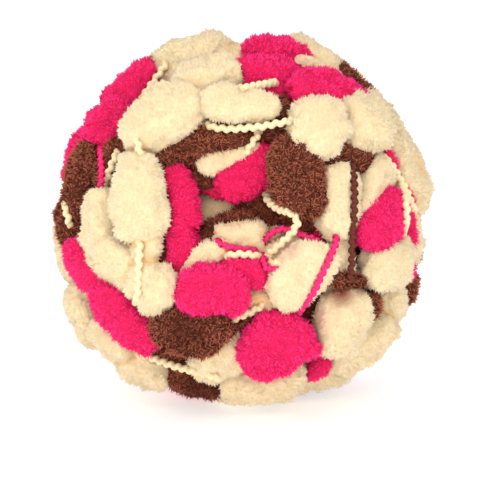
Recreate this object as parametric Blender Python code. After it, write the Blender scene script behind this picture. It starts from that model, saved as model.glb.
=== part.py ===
# Pom pom yarn wound into a ball: fluffy oval pompoms on a thin cord, packed two and three deep
# round a hollow in the ball's face, and resting on a small flat spot.
import math
import random
from collections import namedtuple

import bmesh
import bpy
import numpy as np

MM = 0.001
CREAM = "cream_yarn"
PINK = "pink_yarn"
BROWN = "brown_yarn"

# The wound ball
CENTRE_HEIGHT = 69 * MM      # from the surface that it rests on up to the ball's middle
FLAT_RADIUS = 20 * MM        # the flat spot under its own weight
FLAT_EDGE = 9 * MM           # the ring of pressed pile round the flat spot
FLAT_EDGE_RISE = 12 * MM     # how far that ring draws back from the table
CORE_RADIUS = 56 * MM        # windings packed under the outer pompoms
POMPOM_DEPTH = 0.88          # a pompom's depth for each unit of its width
PILE_TIPS = 1.2 * MM         # how far loose tips of the pile reach past the sizes in the rows

# The hollow in the face, where the windings part
HOLLOW_ACROSS = -5 * MM
HOLLOW_UP = 9 * MM
HOLLOW_RADIUS = 26 * MM
HOLLOW_FLOOR = 22 * MM       # its floor's distance from the ball's middle

# The face looks up by this much, and its rows are places seen square on to it from this far
FACE_TILT = math.radians(8)
EYE_DISTANCE = 950 * MM
STEEPEST_TURN = 0.6          # how far a pompom's long axis may turn into the ball

# The sides and the back, where the pompoms lie side by side along the windings
BACK_SPOTS = 104             # even spots over the whole ball, of which the back takes its share
BACK_EDGE = -0.10            # how far round the back starts, as a cosine from the face's middle
BACK_SPACING = 25 * MM
BACK_LENGTH = 31 * MM
BACK_WIDTH = 23 * MM
BACK_OUT = 64 * MM
BACK_STEPS = 60
EDGE_DRAW = 0.06             # how much further in the back's pompoms lie where they edge the face
EDGE_REACH = 0.45            # how far from the face's edge that goes, as a cosine
BACK_DYES = (CREAM, CREAM, CREAM, PINK, BROWN, CREAM, PINK, PINK, BROWN)
SEED = 7

# The solid's skin
SKIN_CUTS = 27               # cuts along each edge of the cube that is blown up into the skin
SOFTEN_STEPS = 3
SOFTEN_SHARE = 0.3

Dye = namedtuple("Dye", "name colour roughness")
DYES = (
    Dye(CREAM, (0.95, 0.84, 0.52), 0.95),
    Dye(PINK, (0.93, 0.02, 0.13), 0.9),
    Dye(BROWN, (0.12, 0.03, 0.015), 0.92),
)

# One row for each pompom that shows in the face: where its middle shows across and up from the
# ball's middle, how far out it lies, its length and width, and its lean from level, in millimetres
# and degrees
Pompom = namedtuple("Pompom", "across up out long wide lean dye")
CROWN = (
    Pompom(-19.5, 61.5, 64, 32, 22, 8, CREAM),
    Pompom(-3, 60, 60, 22, 18, 0, CREAM),
    Pompom(14, 61, 63, 30, 20, -4, PINK),
    Pompom(8.5, 57, 64, 24, 16, 3, PINK),
    Pompom(-14.5, 53.5, 65, 28, 19, 20, CREAM),
    Pompom(-1, 44.6, 66, 30, 14, -2, CREAM),
    Pompom(25, 61.5, 66, 28, 18, -32, CREAM),
    Pompom(30, 57.5, 66, 30, 14, -3, CREAM),
    Pompom(31, 49, 66.5, 36, 18, -9, PINK),
    Pompom(38, 52.5, 65.5, 26, 12.5, -38, BROWN),
    Pompom(-37.5, 61, 68, 13, 8, 40, BROWN),
    Pompom(12, 50, 60, 11, 9, 0, PINK),
    Pompom(17, 42, 60, 15, 11, -30, BROWN),
)
LEFT_SIDE = (
    Pompom(-31.3, 39.5, 66, 34, 22, 32, CREAM),
    Pompom(-43, 49.8, 65.5, 29, 17.5, 38, PINK),
    Pompom(-52, 37, 64.5, 24, 17, 74, PINK),
    Pompom(-53, 46, 65, 22, 15, 50, PINK),
    Pompom(-62.5, 26, 65, 28, 16, 64, PINK),
    Pompom(-62, 19, 66, 28, 13.5, 70, BROWN),
    Pompom(-50, 22, 58, 21, 15, 75, BROWN),
    Pompom(-64, 2, 65, 22, 15, 88, BROWN),
    Pompom(-39.7, 9.8, 66, 35, 20.5, 90, CREAM),
    Pompom(-54, -3.5, 63, 35, 17, -84, CREAM),
    Pompom(-46.5, -16, 64, 24, 18, -35, CREAM),
    Pompom(-35, -24, 66, 21, 19, -25, CREAM),
    Pompom(-64.5, -11.5, 65, 29, 17, -80, CREAM),
    Pompom(-60, -17, 66.5, 20, 14, -55, PINK),
)
FOOT = (
    Pompom(-59.3, -35.3, 69, 29, 17, -67, CREAM),
    Pompom(-49.5, -45, 68.5, 23, 16, -50, CREAM),
    Pompom(-45.5, -36.5, 68.5, 32, 17.5, -47, PINK),
    Pompom(-38, -55.5, 68, 25, 18, -35, CREAM),
    Pompom(-29, -50, 62, 21, 13, -20, BROWN),
    Pompom(-19, -41.5, 67, 31.5, 18.5, -4, BROWN),
    Pompom(-9.5, -52, 63, 24, 18, 38, CREAM),
    Pompom(-18, -59.5, 63, 27, 15, -3, BROWN),
    Pompom(8, -61, 65.5, 32, 18.5, 4, CREAM),
    Pompom(13.4, -47.6, 69, 27.5, 21.5, 25, PINK),
    Pompom(1, -39, 61, 20, 9, 12, BROWN),
    Pompom(27, -49.5, 58, 19, 14, 60, CREAM),
    Pompom(30, -56.5, 66, 14, 9.5, 55, PINK),
    Pompom(35, -58.5, 65, 23, 14, 25, CREAM),
    Pompom(26, -35, 56, 15, 10, 40, BROWN),
)
RIGHT_SIDE = (
    Pompom(38, -39, 67, 27, 21, 82, CREAM),
    Pompom(45, -46.5, 66, 31, 17.5, 42, CREAM),
    Pompom(49.5, -33, 64, 15, 8, -80, BROWN),
    Pompom(55, -32, 64, 25, 17, -50, CREAM),
    Pompom(62, -26, 67, 15, 12, -70, BROWN),
    Pompom(62, -19, 65, 13, 10, -75, PINK),
    Pompom(55, -16, 66, 24, 20, 5, CREAM),
    Pompom(62, -6, 62.5, 24, 17, -80, CREAM),
    Pompom(64, 1.5, 66, 25, 7.5, -80, PINK),
    Pompom(54, 1, 65, 24, 14.5, 66, PINK),
    Pompom(57, 23.5, 66, 11, 4.5, -62, PINK),
    Pompom(60, 20, 64, 30, 19, -80, CREAM),
    Pompom(63.5, 16, 65.5, 31, 18.5, -84, CREAM),
    Pompom(51.8, 38.8, 64, 31, 17.5, -55, CREAM),
    Pompom(45, 36.6, 67, 20, 23, 0, CREAM),
    Pompom(30, 35.6, 67, 21.5, 22, 0, CREAM),
    Pompom(41, 23, 62, 26, 11, -3, BROWN),
    Pompom(49, 10, 63, 32, 15, 76, CREAM),
    Pompom(36.5, 8, 62, 29, 17, 88, CREAM),
    Pompom(36, -17, 60, 21, 14, 72, CREAM),
    Pompom(35, -5, 54, 21, 10, -18, PINK),
)
HOLLOW_RIM = (
    Pompom(21.2, 18, 66, 31, 19.5, -80, BROWN),
    Pompom(21.5, -21, 64, 31, 20, 50, CREAM),
    Pompom(17, -11, 54, 18, 11, 35, CREAM),
    Pompom(4, -32, 55, 17, 14, 20, CREAM),
    Pompom(-11.3, -26.6, 64, 27, 19.5, -6, PINK),
    Pompom(1, -20, 60, 21, 13, -10, PINK),
    Pompom(-15, -13, 57, 21, 12, 20, CREAM),
    Pompom(-1, -5.5, 50, 22, 15, 4, CREAM),
    Pompom(-22.8, 11, 54, 24, 11.5, -72, PINK),
    Pompom(-24, -9.5, 57, 20, 13, 95, PINK),
    Pompom(-28.5, -9, 56, 22, 11, 85, BROWN),
    Pompom(-10, 31.5, 56, 34, 15, 9, BROWN),
    Pompom(-18, 25, 54, 19, 8, 8, BROWN),
    Pompom(-29, 26, 59, 16, 10, 22, BROWN),
    Pompom(-5.5, 25.5, 54.5, 25, 11, 22, CREAM),
    Pompom(2, 19, 51, 27, 16, 36, PINK),
    Pompom(-17.5, 17, 48, 18, 8, -25, BROWN),
    Pompom(-11.5, 12.8, 47, 13, 6, -20, PINK),
    Pompom(-12, 2, 34, 28, 18, 35, CREAM),
    Pompom(10, 5, 40, 28, 15, -28, BROWN),
    Pompom(-4.5, -4.5, 45, 24, 16.5, 15, BROWN),
    Pompom(27, -2, 50, 24, 13, -28, BROWN),
    Pompom(8, 34, 54, 18, 13, -10, BROWN),
    Pompom(11, -9, 46, 16, 10, 45, CREAM),
)
FACE_ROWS = CROWN + LEFT_SIDE + FOOT + RIGHT_SIDE + HOLLOW_RIM

# The windings of the back: each lies round its own axis, over the patch that it crosses
Winding = namedtuple("Winding", "axis patch")
WINDINGS = (
    Winding((0.2, 0.1, 1.0), (0.9, 0.5, 0.1)),
    Winding((0.9, 0.3, 0.5), (0.0, 0.8, 0.8)),
    Winding((0.7, 0.2, -0.8), (-0.7, 0.8, 0.0)),
    Winding((0.3, -0.4, 0.9), (0.1, 1.0, -0.2)),
    Winding((1.0, -0.3, -0.2), (-0.5, 0.5, -0.8)),
    Winding((-0.2, 0.9, 0.5), (0.6, 0.4, -0.8)),
    Winding((0.1, 1.0, 0.0), (-0.9, 0.1, 0.6)),
)

FACE_ACROSS = np.array((1.0, 0.0, 0.0))
FACE_UP = np.array((0.0, math.sin(FACE_TILT), math.cos(FACE_TILT)))
FACE_INTO = np.array((0.0, math.cos(FACE_TILT), -math.sin(FACE_TILT)))


def unit(vectors):
    """The vectors at length one."""
    return vectors / np.linalg.norm(vectors, axis=-1, keepdims=True)


def seat(across, up, out):
    """The place, from the ball's middle, that shows at across and up on the face and lies this far out."""
    eye = -FACE_INTO * EYE_DISTANCE
    ray = unit(FACE_ACROSS * across + FACE_UP * up - eye)
    nearest = -eye @ ray
    reach = out * out - (eye @ eye - nearest * nearest)
    if reach < 0:
        return unit(eye + ray * nearest) * out
    return eye + ray * (nearest - math.sqrt(reach))


def lie(place, direction):
    """Axes of a pompom: along its cord, across it, and out of the ball."""
    outward = unit(place)
    along = direction - outward * (direction @ outward)
    along = unit(along)
    return np.array((along, np.cross(outward, along), outward))


def face_pompom(row):
    """A pompom of the face as its middle, axes, half sizes and dye."""
    place = seat(row.across * MM, row.up * MM, row.out * MM)
    lean = math.radians(row.lean)
    level = FACE_ACROSS * math.cos(lean) + FACE_UP * math.sin(lean)
    outward = unit(place)
    turn = (level @ outward) / max(-outward @ FACE_INTO, STEEPEST_TURN)
    turn = max(-STEEPEST_TURN, min(STEEPEST_TURN, turn))
    axes = lie(place, level + FACE_INTO * turn)
    half = np.array((row.long, row.wide, row.wide * POMPOM_DEPTH)) * MM / 2 + PILE_TIPS
    return place, axes, half, row.dye


def spread_back(fixed):
    """Even spots over the sides and the back, pushed apart until they lie side by side."""
    numbers = np.arange(BACK_SPOTS) + 0.5
    height = 1 - 2 * numbers / BACK_SPOTS
    turn = numbers * math.pi * (3 - math.sqrt(5))
    ring = np.sqrt(1 - height * height)
    spots = np.stack((ring * np.cos(turn), ring * np.sin(turn), height), axis=1)
    spots = spots[spots @ FACE_INTO > BACK_EDGE]
    apart = np.linalg.norm(spots[:, None] - fixed[None], axis=2).min(axis=1) * BACK_OUT
    spots = spots[apart > BACK_SPACING * 0.62]
    for step in range(BACK_STEPS):
        others = np.concatenate((spots, fixed))
        away = spots[:, None] - others[None]
        gap = np.linalg.norm(away, axis=2) * BACK_OUT
        gap[gap == 0] = np.inf
        push = np.clip(BACK_SPACING - gap, 0, None) / BACK_SPACING
        spots = unit(spots + (away / gap[..., None] * push[..., None]).sum(axis=1) * BACK_OUT * 0.12)
    return spots


def back_pompoms(face):
    """The pompoms that the face doesn't show, each along the winding that crosses its patch."""
    chance = random.Random(SEED)
    fixed = unit(np.array([place for place, axes, half, dye in face]))
    patches = unit(np.array([winding.patch for winding in WINDINGS]))
    made = []
    for number, spot in enumerate(spread_back(fixed)):
        winding = WINDINGS[int(np.argmax(patches @ spot))]
        size = chance.uniform(0.92, 1.1)
        drawn = EDGE_DRAW * max(0, 1 - abs(spot @ FACE_INTO) / EDGE_REACH)
        place = spot * BACK_OUT * (chance.uniform(0.97, 1.03) - drawn)
        sway = np.array([chance.uniform(-0.35, 0.35) for axis in range(3)])
        axes = lie(place, unit(np.cross(winding.axis, spot)) + sway)
        half = np.array((BACK_LENGTH, BACK_WIDTH, BACK_WIDTH * POMPOM_DEPTH)) * size / 2 + PILE_TIPS
        made.append((place, axes, half, BACK_DYES[number % len(BACK_DYES)]))
    return made


def core_reach(directions):
    """How far out the packed windings reach: a round core, dented where the face's hollow is."""
    middle = unit(seat(HOLLOW_ACROSS, HOLLOW_UP, CORE_RADIUS))
    off_middle = np.arccos(np.clip(directions @ middle, -1, 1)) * CORE_RADIUS
    rise = np.clip(off_middle / HOLLOW_RADIUS, 0, 1)
    rise = rise * rise * (3 - 2 * rise)
    return HOLLOW_FLOOR + (CORE_RADIUS - HOLLOW_FLOOR) * rise


def pompom_reach(directions, pompom):
    """How far out each ray from the ball's middle leaves a pompom, or zero where it misses."""
    place, axes, half, dye = pompom
    ray = directions @ axes.T / half
    start = axes @ place / half
    square = (ray * ray).sum(axis=1)
    lead = ray @ start
    inside = lead * lead - square * (start @ start - 1)
    reach = (lead + np.sqrt(np.clip(inside, 0, None))) / square
    return np.where((inside > 0) & (lead > 0), reach, 0)


def rest_on_table(directions, reach):
    """The reach cut level at the table, with the flat spot and its pressed edge standing on it."""
    down = np.clip(-directions[:, 2], 1e-6, None)
    table = CENTRE_HEIGHT / down
    off_foot = table * np.sqrt(np.clip(1 - down * down, 0, None))
    outside = np.clip((off_foot - FLAT_RADIUS) / FLAT_EDGE, 0, None)
    pressed = np.where(outside < 1, table - FLAT_EDGE_RISE * outside, 0)
    return np.minimum(np.maximum(reach, pressed), table)


def blown_cube(bm):
    """A cube cut into even squares and blown up to a round skin, as directions from the middle."""
    bmesh.ops.create_cube(bm, size=2)
    bmesh.ops.subdivide_edges(bm, edges=bm.edges[:], cuts=SKIN_CUTS, use_grid_fill=True)
    bm.verts.ensure_lookup_table()
    corners = np.array([vert.co[:] for vert in bm.verts])
    return unit(np.tan(corners * math.pi / 4))


def soften(bm, reach):
    """The reach with each point drawn part of the way to the mean of its neighbours."""
    pairs = np.array([[edge.verts[0].index, edge.verts[1].index] for edge in bm.edges])
    total = np.zeros_like(reach)
    count = np.zeros_like(reach)
    for near, far in ((0, 1), (1, 0)):
        np.add.at(total, pairs[:, near], reach[pairs[:, far]])
        np.add.at(count, pairs[:, near], 1)
    return reach + (total / count - reach) * SOFTEN_SHARE


def make_material(dye):
    """The matt pile of one dye."""
    material = bpy.data.materials.new(dye.name)
    material.use_nodes = True
    surface = material.node_tree.nodes["Principled BSDF"]
    surface.inputs["Base Color"].default_value = (*dye.colour, 1)
    surface.inputs["Roughness"].default_value = dye.roughness
    surface.inputs["Metallic"].default_value = 0
    material.diffuse_color = (*dye.colour, 1)
    return material


def make_ball():
    """The whole wound ball as one closed solid."""
    bm = bmesh.new()
    directions = blown_cube(bm)
    face = [face_pompom(row) for row in FACE_ROWS]
    pompoms = face + back_pompoms(face)
    reaches = np.array([pompom_reach(directions, pompom) for pompom in pompoms])
    reach = np.maximum(reaches.max(axis=0), core_reach(directions))
    for step in range(SOFTEN_STEPS):
        reach = soften(bm, reach)
    places = directions * rest_on_table(directions, reach)[:, None]
    places[:, 2] += CENTRE_HEIGHT
    names = [dye.name for dye in DYES]
    slots = [names.index(pompoms[number][3]) for number in reaches.argmax(axis=0)]
    for vert, place in zip(bm.verts, places):
        vert.co = place
    for face in bm.faces:
        face.material_index = slots[face.verts[0].index]
        face.smooth = True
    bmesh.ops.triangulate(bm, faces=bm.faces[:])
    mesh = bpy.data.meshes.new("yarn_ball")
    bm.to_mesh(mesh)
    bm.free()
    for dye in DYES:
        mesh.materials.append(make_material(dye))
    ball = bpy.data.objects.new("yarn_ball", mesh)
    bpy.context.scene.collection.objects.link(ball)
    return ball


for old in list(bpy.data.objects):
    bpy.data.objects.remove(old)

make_ball()
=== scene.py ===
# Pom pom yarn wound into a ball: fluffy oval pompoms in cream, pink and brown on a thin chained cord,
# packed two and three deep round a hollow in the ball's face.
import math
import random
from collections import namedtuple
from functools import lru_cache

import bmesh
import bpy
import numpy as np
from bpy.props import FloatProperty, FloatVectorProperty, IntProperty, PointerProperty
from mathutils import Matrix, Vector, kdtree, noise


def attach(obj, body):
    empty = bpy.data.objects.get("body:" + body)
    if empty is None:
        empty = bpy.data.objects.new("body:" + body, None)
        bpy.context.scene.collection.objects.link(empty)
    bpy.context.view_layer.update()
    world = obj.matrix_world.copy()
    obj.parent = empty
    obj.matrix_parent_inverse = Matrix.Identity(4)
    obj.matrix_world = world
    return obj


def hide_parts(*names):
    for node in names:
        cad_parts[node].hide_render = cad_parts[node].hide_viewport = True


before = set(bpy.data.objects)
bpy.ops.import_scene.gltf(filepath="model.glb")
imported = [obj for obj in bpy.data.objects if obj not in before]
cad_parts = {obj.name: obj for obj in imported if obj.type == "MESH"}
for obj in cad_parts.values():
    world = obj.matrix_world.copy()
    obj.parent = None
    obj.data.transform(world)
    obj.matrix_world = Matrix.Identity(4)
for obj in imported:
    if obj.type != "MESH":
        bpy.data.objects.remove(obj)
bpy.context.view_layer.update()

bl_info = {
    "name": "Pom pom yarn ball",
    "version": (1, 0, 0),
    "blender": (4, 5, 0),
    "location": "View3D > Sidebar > Yarn",
    "description": "Winds a ball of pom pom yarn, with its pile, its cords and a stage",
    "category": "Add Mesh",
}

MM = 0.001
BODY = "root"
SOLID = "yarn_ball"
CREAM = "cream_yarn"
PINK = "pink_yarn"
BROWN = "brown_yarn"

# One row for each pompom that shows in the face: where its middle shows across and up from the
# ball's middle, how far out it lies, its length and width, and its lean from level, in millimetres
# and degrees
Pompom = namedtuple("Pompom", "across up out long wide lean dye")
CROWN = (
    Pompom(-19.5, 61.5, 64, 32, 22, 8, CREAM),
    Pompom(-3, 60, 60, 22, 18, 0, CREAM),
    Pompom(14, 61, 63, 30, 20, -4, PINK),
    Pompom(8.5, 57, 64, 24, 16, 3, PINK),
    Pompom(-14.5, 53.5, 65, 28, 19, 20, CREAM),
    Pompom(-1, 44.6, 66, 30, 14, -2, CREAM),
    Pompom(25, 61.5, 66, 28, 18, -32, CREAM),
    Pompom(29, 59, 66, 27, 8.5, -4, CREAM),
    Pompom(33, 48.8, 67, 34.5, 17.5, -10, PINK),
    Pompom(41.5, 54.5, 67, 25, 11, -41, BROWN),
    Pompom(-37.5, 61, 68, 13, 8, 40, BROWN),
    Pompom(12, 50, 60, 11, 9, 0, PINK),
    Pompom(17, 42, 60, 15, 11, -30, BROWN),
)
LEFT_SIDE = (
    Pompom(-31.3, 39.5, 66, 34, 22, 32, CREAM),
    Pompom(-43, 49.8, 65.5, 29, 17.5, 38, PINK),
    Pompom(-52, 37, 64.5, 24, 17, 74, PINK),
    Pompom(-53, 46, 65, 22, 15, 50, PINK),
    Pompom(-62.5, 26, 65, 28, 16, 64, PINK),
    Pompom(-62, 19, 66, 28, 13.5, 70, BROWN),
    Pompom(-50, 22, 58, 21, 15, 75, BROWN),
    Pompom(-64, 2, 65, 22, 15, 88, BROWN),
    Pompom(-39.7, 9.8, 66, 35, 20.5, 90, CREAM),
    Pompom(-54, -3.5, 63, 35, 17, -84, CREAM),
    Pompom(-46.5, -16, 64, 24, 18, -35, CREAM),
    Pompom(-35, -24, 66, 21, 19, -25, CREAM),
    Pompom(-37, -10, 64, 21, 11.5, 88, CREAM),
    Pompom(-64.5, -11.5, 65, 29, 17, -80, CREAM),
    Pompom(-61, -17, 68, 20, 15, -50, PINK),
)
FOOT = (
    Pompom(-59.3, -35.3, 69, 29, 17, -67, CREAM),
    Pompom(-49.5, -45, 68.5, 23, 16, -50, CREAM),
    Pompom(-45.5, -36.5, 68.5, 32, 17.5, -47, PINK),
    Pompom(-38, -55.5, 68, 25, 18, -35, CREAM),
    Pompom(-29, -50, 62, 21, 13, -20, BROWN),
    Pompom(-19, -41.5, 67, 31.5, 18.5, -4, BROWN),
    Pompom(-8.6, -50.9, 63.5, 28, 18, 48, CREAM),
    Pompom(-20, -59.5, 64.2, 29, 15, -3, BROWN),
    Pompom(8, -61, 65.5, 32, 18.5, 4, CREAM),
    Pompom(13.4, -47.6, 69, 27.5, 21.5, 25, PINK),
    Pompom(-1, -41, 61, 20, 8, 18, BROWN),
    Pompom(27, -49.5, 58, 19, 14, 60, CREAM),
    Pompom(30, -56.5, 66, 14, 9.5, 55, PINK),
    Pompom(33.5, -59.2, 65, 25, 15, 22, CREAM),
    Pompom(26, -35, 56, 15, 10, 40, BROWN),
    Pompom(23, -64, 65, 20, 12, 10, CREAM),
)
RIGHT_SIDE = (
    Pompom(38, -38.2, 67, 28.6, 21, 82, CREAM),
    Pompom(45, -46.5, 66, 31, 17.5, 42, CREAM),
    Pompom(50, -32, 66, 17, 7, -74, BROWN),
    Pompom(39.5, -23.4, 66.8, 19, 6.3, -7, BROWN),
    Pompom(55, -32, 64, 25, 17, -50, CREAM),
    Pompom(62, -26, 67, 15, 12, -70, BROWN),
    Pompom(62, -19, 65, 13, 10, -75, PINK),
    Pompom(55, -16, 66, 24, 20, 5, CREAM),
    Pompom(62, -6, 62.5, 24, 17, -80, CREAM),
    Pompom(64, 1.5, 66, 25, 7.5, -80, PINK),
    Pompom(53.2, 1, 67, 26, 19, 52, PINK),
    Pompom(57, 23.5, 66, 11, 4.5, -62, PINK),
    Pompom(60, 20, 64, 30, 19, -80, CREAM),
    Pompom(63.5, 16, 65.5, 31, 18.5, -84, CREAM),
    Pompom(51.8, 38.8, 64, 31, 17.5, -55, CREAM),
    Pompom(45.8, 36.6, 68, 21.5, 23, 0, CREAM),
    Pompom(29, 36, 69.5, 20.5, 23.5, 0, CREAM),
    Pompom(41, 23, 62, 26, 11, -3, BROWN),
    Pompom(49, 10, 63, 32, 15, 76, CREAM),
    Pompom(36.5, 8, 62, 29, 17, 88, CREAM),
    Pompom(36, -17, 60, 21, 14, 72, CREAM),
    Pompom(35, -5, 54, 21, 10, -18, PINK),
)
HOLLOW_RIM = (
    Pompom(21, 17.4, 62, 31, 19.5, -82, BROWN),
    Pompom(22.1, -20, 64, 29, 20, 50, CREAM),
    Pompom(17, -11, 54, 18, 11, 35, CREAM),
    Pompom(4, -33, 57, 22, 13.5, 26, CREAM),
    Pompom(-11.3, -26.6, 64, 27, 19.5, -6, PINK),
    Pompom(1, -20, 60, 21, 13, -10, PINK),
    Pompom(-15.5, -14.3, 57, 22, 11.5, 32, CREAM),
    Pompom(-1.5, -6.6, 50, 22, 15, 0, CREAM),
    Pompom(-22.8, 9.8, 54.5, 27, 12, -75, PINK),
    Pompom(-24, -9, 56.5, 23, 13, 97, PINK),
    Pompom(-28.5, -9, 56, 22, 11, 85, BROWN),
    Pompom(-10, 31.5, 56, 34, 15, 9, BROWN),
    Pompom(-18, 25, 54, 19, 8, 8, BROWN),
    Pompom(-29, 26, 59, 16, 10, 22, BROWN),
    Pompom(-5.5, 25.5, 54.5, 25, 11, 22, CREAM),
    Pompom(2, 19, 51, 27, 16, 36, PINK),
    Pompom(-17.5, 17, 48, 18, 8, -25, BROWN),
    Pompom(-11.5, 12.8, 47, 13, 6, -20, PINK),
    Pompom(-12, 2, 34, 28, 18, 35, CREAM),
    Pompom(10, 5, 40, 28, 15, -28, BROWN),
    Pompom(-7, -6.3, 45, 28, 17, 30, BROWN),
    Pompom(27, -2, 50, 24, 13, -28, BROWN),
    Pompom(8, 34, 54, 18, 13, -10, BROWN),
    Pompom(11, -9, 46, 16, 10, 45, CREAM),
)
FACE_ZONES = {
    "crown": CROWN,
    "left": LEFT_SIDE,
    "foot": FOOT,
    "right": RIGHT_SIDE,
    "hollow": HOLLOW_RIM,
}

# Each piece holds the pompoms of one dye in some of the ball's zones
Piece = namedtuple("Piece", "name dye zones")
PIECES = (
    Piece("cream_pompoms_crown", CREAM, ("crown",)),
    Piece("cream_pompoms_left", CREAM, ("left",)),
    Piece("cream_pompoms_foot", CREAM, ("foot",)),
    Piece("cream_pompoms_right", CREAM, ("right", "hollow")),
    Piece("cream_pompoms_back", CREAM, ("back",)),
    Piece("cream_pompoms_inner", CREAM, ("inner",)),
    Piece("pink_pompoms_face", PINK, ("crown", "left", "foot", "right", "hollow")),
    Piece("pink_pompoms_back", PINK, ("back", "inner")),
    Piece("brown_pompoms_face", BROWN, ("crown", "left", "foot", "right", "hollow")),
    Piece("brown_pompoms_back", BROWN, ("back", "inner")),
)

# Stretches of cord that show in the face, each along points across and up, in millimetres, and how
# far one lies sunk in the pile, or with less than nothing how far clear of it
Cord = namedtuple("Cord", "dye path sunk", defaults=(0,))
FACE_CORDS = (
    Cord(CREAM, ((-15.5, 38), (-12.5, 36.3), (-7, 35.8), (0, 36), (7.5, 36.5), (14, 38), (19.5, 39.5))),
    Cord(CREAM, ((6.5, 35.5), (5, 32.5), (3, 29.8), (0.5, 26.8), (-2, 25.3)), 0.5),
    Cord(CREAM, ((-1, 50.8), (4, 51.8), (9, 53), (13.5, 54.6)), -0.5),
    Cord(CREAM, ((-29, 60), (-32, 56.4), (-35, 53), (-38.5, 49), (-41.5, 46.5)), -0.4),
    Cord(CREAM, ((-41, 37.5), (-41, 32.5), (-39.5, 28), (-39, 24.5)), 1.4),
    Cord(CREAM, ((-40, -6), (-40.2, -14), (-40.6, -22.5), (-41, -31)), 1.6),
    Cord(PINK, ((-55, 29), (-54.7, 24.5), (-54.8, 19), (-55.2, 14))),
    Cord(CREAM, ((-48, 27.5), (-50, 23.5), (-52, 18.9), (-53.3, 14.5)), -0.8),
    Cord(CREAM, ((-68, 7), (-67.5, 2.5), (-66, -2.5))),
    Cord(BROWN, ((42, 22.5), (42.7, 14), (42.7, 4), (42.5, -7.5), (42, -16.5), (41, -24.5))),
    Cord(PINK, ((36, -4.5), (35.2, -8.5), (33.2, -13), (31, -18), (29.2, -22.5), (27, -28), (21, -37))),
    Cord(PINK, ((-10.8, -7.6), (-5.8, -10.4), (-0.2, -11.4), (4.8, -12.1), (7.2, -12.3))),
    Cord(
        PINK,
        (
            (6.9, -12.3), (7.2, -9.8), (8.3, -7), (10.6, -4.4), (13.5, -2.7),
            (16.5, -2.3), (19.8, -3.2), (22.7, -4.9), (26.1, -6), (28.5, -7.5),
        ),
        2.6,
    ),
    Cord(PINK, ((7, -12.3), (7.8, -17), (10, -19.3), (13.5, -18))),
    Cord(CREAM, ((-8, -14), (-2.7, -13.4), (1.5, -13.6), (5.5, -14.4)), -0.8),
    Cord(
        CREAM,
        (
            (9.8, 12.7), (9.4, 9.6), (11.2, 7.2), (13.9, 5.2), (16.9, 4.1), (19.1, 2.5),
            (20.1, 0), (18.2, -3.6), (15.4, -6.7), (12.7, -9.9), (10.2, -12.8), (9, -15.3),
        ),
        -1.6,
    ),
    Cord(CREAM, ((9, -15.3), (11, -17), (15, -16))),
    Cord(CREAM, ((-4.2, -39), (1.5, -36.8), (5, -35.2), (10, -32.6)), 0.5),
    Cord(
        CREAM,
        (
            (-42, -51), (-38, -52.3), (-33.5, -54), (-28.6, -55.6),
            (-23.7, -56.8), (-13.9, -59), (-7.5, -60.6),
        ),
    ),
    Cord(CREAM, ((53, 24.5), (57.5, 20.5), (61, 15), (64, 9.5), (66.5, 3))),
    Cord(CREAM, ((60.5, 14), (62, 7.5), (62.5, 0.5), (62, -6))),
)

# Painted shade and painted reflected colour on the cream pile where it meets another pompom: golden
# shade where two cream pompoms meet, a peach reflection beside pink and a tan shade beside brown; the
# colour there, how much of it, and how far past its own pompom it reaches, as a share of the pompom's
# size
CreaseShade = namedtuple("CreaseShade", "colour amount reach")
CREASE_SHADES = {
    CREAM: CreaseShade((0.9, 0.6, 0.26), 0.7, 0.18),
    PINK: CreaseShade((0.98, 0.6, 0.44), 0.35, 0.25),
    BROWN: CreaseShade((0.64, 0.38, 0.2), 0.35, 0.25),
}

# Patches laid on the face's pile: its middle across and up, how far it reaches, its colour and
# strength, and the dye that takes it; the first two are real brown stains on cream, the rest are
# painted shade in the hollow and beside brown, a painted peach reflection beside pink, and painted
# shade that darkens the brown low on the ball
StainAndShade = namedtuple("StainAndShade", "across up reach colour strength dye")
STAINS_AND_SHADE = (
    # real brown stains on the cream
    StainAndShade(38, -27.6, 9, (0.3, 0.08, 0.045), 1.0, CREAM),
    StainAndShade(45.5, -26.5, 5, (0.2, 0.06, 0.035), 0.8, CREAM),
    # painted shade in the hollow and beside brown, and a painted peach reflection beside pink
    StainAndShade(17, -11, 8, (0.82, 0.48, 0.36), 0.6, CREAM),
    StainAndShade(-9, 24, 7, CREASE_SHADES[BROWN].colour, 0.3, CREAM),
    StainAndShade(-34, -23, 8, CREASE_SHADES[BROWN].colour, 0.12, CREAM),
    StainAndShade(5, -33, 10, (0.86, 0.5, 0.22), 0.8, CREAM),
    StainAndShade(30, -38, 8, CREASE_SHADES[PINK].colour, 0.45, CREAM),
    # painted shade, darker brown low on the ball
    StainAndShade(-22, -42, 14, (0.06, 0.013, 0.008), 0.6, BROWN),
    StainAndShade(-17, -63, 14, (0.05, 0.01, 0.006), 0.75, BROWN),
)

# The windings of the back: each lies round its own axis, over the patch that it crosses
Winding = namedtuple("Winding", "axis patch")
WINDINGS = (
    Winding((0.2, 0.1, 1.0), (0.9, 0.5, 0.1)),
    Winding((0.9, 0.3, 0.5), (0.0, 0.8, 0.8)),
    Winding((0.7, 0.2, -0.8), (-0.7, 0.8, 0.0)),
    Winding((0.3, -0.4, 0.9), (0.1, 1.0, -0.2)),
    Winding((1.0, -0.3, -0.2), (-0.5, 0.5, -0.8)),
    Winding((-0.2, 0.9, 0.5), (0.6, 0.4, -0.8)),
    Winding((0.1, 1.0, 0.0), (-0.9, 0.1, 0.6)),
)
BACK_DYES = (CREAM, CREAM, CREAM, PINK, BROWN, CREAM, PINK, PINK, BROWN)
INNER_DYES = (CREAM, BROWN, CREAM, PINK, BROWN)
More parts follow.
